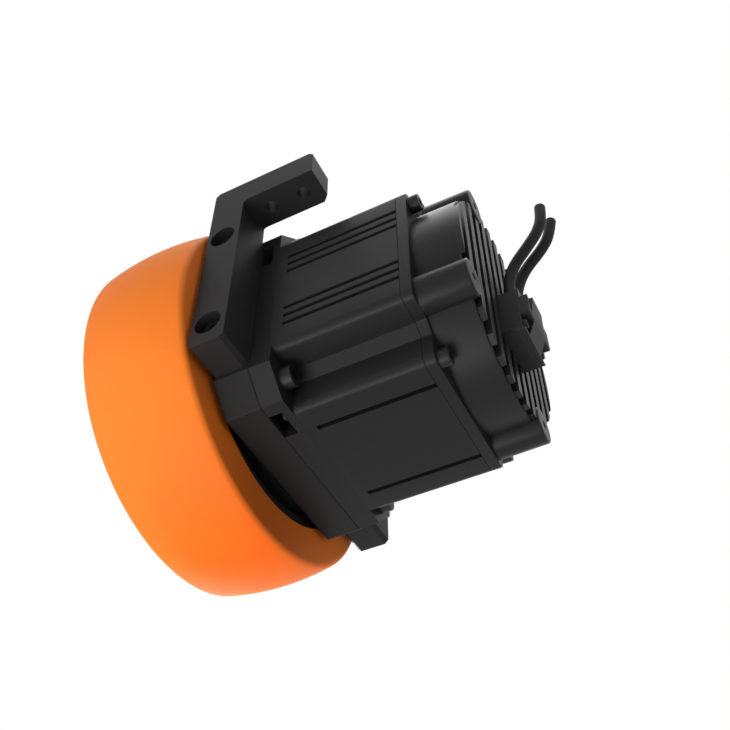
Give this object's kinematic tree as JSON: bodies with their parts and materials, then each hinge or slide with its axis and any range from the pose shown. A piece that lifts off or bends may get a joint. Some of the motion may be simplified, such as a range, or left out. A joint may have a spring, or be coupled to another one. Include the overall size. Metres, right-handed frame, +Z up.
{
  "type": "agv drive wheel unit",
  "caption": "Drive wheel with a solid orange tyre, a planetary gearbox inside its hub and a square servo motor behind it, hung from two brackets with bolt holes for the vehicle's chassis.",
  "frame": {"origin": "centre of the four chassis bolt holes, on the top faces of the two bracket arms", "axes": "+Z up out of the chassis faces, +Y along the wheel axis from the wheel to the rear of the motor, +X to the right-hand bracket seen from the wheel side with +Y going away"},
  "size_m": [0.1228, 0.1407, 0.1228],
  "materials": {
    "black_casting": "satin",
    "black_anodised": "satin",
    "hub_cap_plastic": "matte",
    "polyurethane": "matte",
    "black_screws": "satin",
    "steel": "satin",
    "bearing_steel": "gloss",
    "seal_rubber": "matte",
    "copper": "satin",
    "magnet_coating": "satin",
    "circuit_board": "satin",
    "component_plastic": "matte",
    "capacitor_sleeve": "satin",
    "spacer_brass": "satin",
    "connector_plastic": "matte",
    "cable_sleeve": "matte"
  },
  "bodies": {
    "frame": {"mounting_plate": "black_anodised", "bracket_right": "black_anodised", "bracket_left": "black_anodised", "bracket_screws": "black_screws", "ring_gear": "steel", "output_housing": "black_anodised", "gearbox_screws": "black_screws", "output_bearing_outer": "bearing_steel", "shaft_seal": "seal_rubber", "motor_housing": "black_casting", "motor_screws": "black_screws", "front_bearing_outer": "bearing_steel", "rear_bearing_outer": "bearing_steel", "stator_core": "steel", "stator_coils": "copper", "end_shield": "black_casting", "rear_cover": "black_casting", "tie_screws": "black_screws", "drive_board": "circuit_board", "board_spacers": "spacer_brass", "power_transistors": "component_plastic", "capacitors": "capacitor_sleeve", "encoder_chip": "component_plastic", "connector_body": "connector_plastic", "connector_lid": "connector_plastic", "connector_screws": "black_screws", "connector_contacts": "copper", "power_cable": "cable_sleeve", "signal_cable": "cable_sleeve"},
    "wheel": {"tyre": "polyurethane", "hub": "black_anodised", "output_carrier": "steel", "output_pins": "steel", "hub_screws": "black_screws", "hub_cap": "hub_cap_plastic", "output_bearing_inner": "bearing_steel"},
    "rotor": {"motor_shaft": "steel", "rotor_magnets": "magnet_coating", "encoder_magnet": "magnet_coating", "sun_gear_1": "steel", "front_bearing_inner": "bearing_steel", "rear_bearing_inner": "bearing_steel"},
    "carrier": {"carrier_1": "steel", "carrier_1_pins": "steel", "pin_washers": "steel", "sun_gear_2": "steel"},
    "planet_1a": {"planet_1a": "steel"},
    "planet_1b": {"planet_1b": "steel"},
    "planet_1c": {"planet_1c": "steel"},
    "planet_2a": {"planet_2a": "steel"},
    "planet_2b": {"planet_2b": "steel"},
    "planet_2c": {"planet_2c": "steel"}
  },
  "joints": [
    {"name": "wheel_spin", "type": "hinge", "parent": "frame", "child": "wheel", "pos_m": [0, 0, -0.0497], "axis": [0, 1, 0], "continuous": true},
    {"name": "carrier_spin", "type": "hinge", "parent": "frame", "child": "carrier", "pos_m": [0, 0, -0.0497], "axis": [0, 1, 0], "continuous": true},
    {"name": "rotor_spin", "type": "hinge", "parent": "frame", "child": "rotor", "pos_m": [0, 0, -0.0497], "axis": [0, 1, 0], "continuous": true},
    {"name": "planet_1a_spin", "type": "hinge", "parent": "carrier", "child": "planet_1a", "pos_m": [0.0216, 0, -0.0497], "axis": [0, 1, 0], "continuous": true},
    {"name": "planet_2a_spin", "type": "hinge", "parent": "wheel", "child": "planet_2a", "pos_m": [0.0216, 0, -0.0497], "axis": [0, 1, 0], "continuous": true},
    {"name": "planet_1b_spin", "type": "hinge", "parent": "carrier", "child": "planet_1b", "pos_m": [-0.0108, 0, -0.06841], "axis": [0, 1, 0], "continuous": true},
    {"name": "planet_2b_spin", "type": "hinge", "parent": "wheel", "child": "planet_2b", "pos_m": [-0.0108, 0, -0.06841], "axis": [0, 1, 0], "continuous": true},
    {"name": "planet_1c_spin", "type": "hinge", "parent": "carrier", "child": "planet_1c", "pos_m": [-0.0108, 0, -0.03099], "axis": [0, 1, 0], "continuous": true},
    {"name": "planet_2c_spin", "type": "hinge", "parent": "wheel", "child": "planet_2c", "pos_m": [-0.0108, 0, -0.03099], "axis": [0, 1, 0], "continuous": true}
  ],
  "couplings": [
    {"joint": "carrier_spin", "follows": "wheel_spin", "ratio": 4},
    {"joint": "rotor_spin", "follows": "wheel_spin", "ratio": 16},
    {"joint": "planet_2a_spin", "follows": "wheel_spin", "ratio": -3},
    {"joint": "planet_1a_spin", "follows": "wheel_spin", "ratio": -12},
    {"joint": "planet_2b_spin", "follows": "wheel_spin", "ratio": -3},
    {"joint": "planet_1b_spin", "follows": "wheel_spin", "ratio": -12},
    {"joint": "planet_2c_spin", "follows": "wheel_spin", "ratio": -3},
    {"joint": "planet_1c_spin", "follows": "wheel_spin", "ratio": -12}
  ]
}
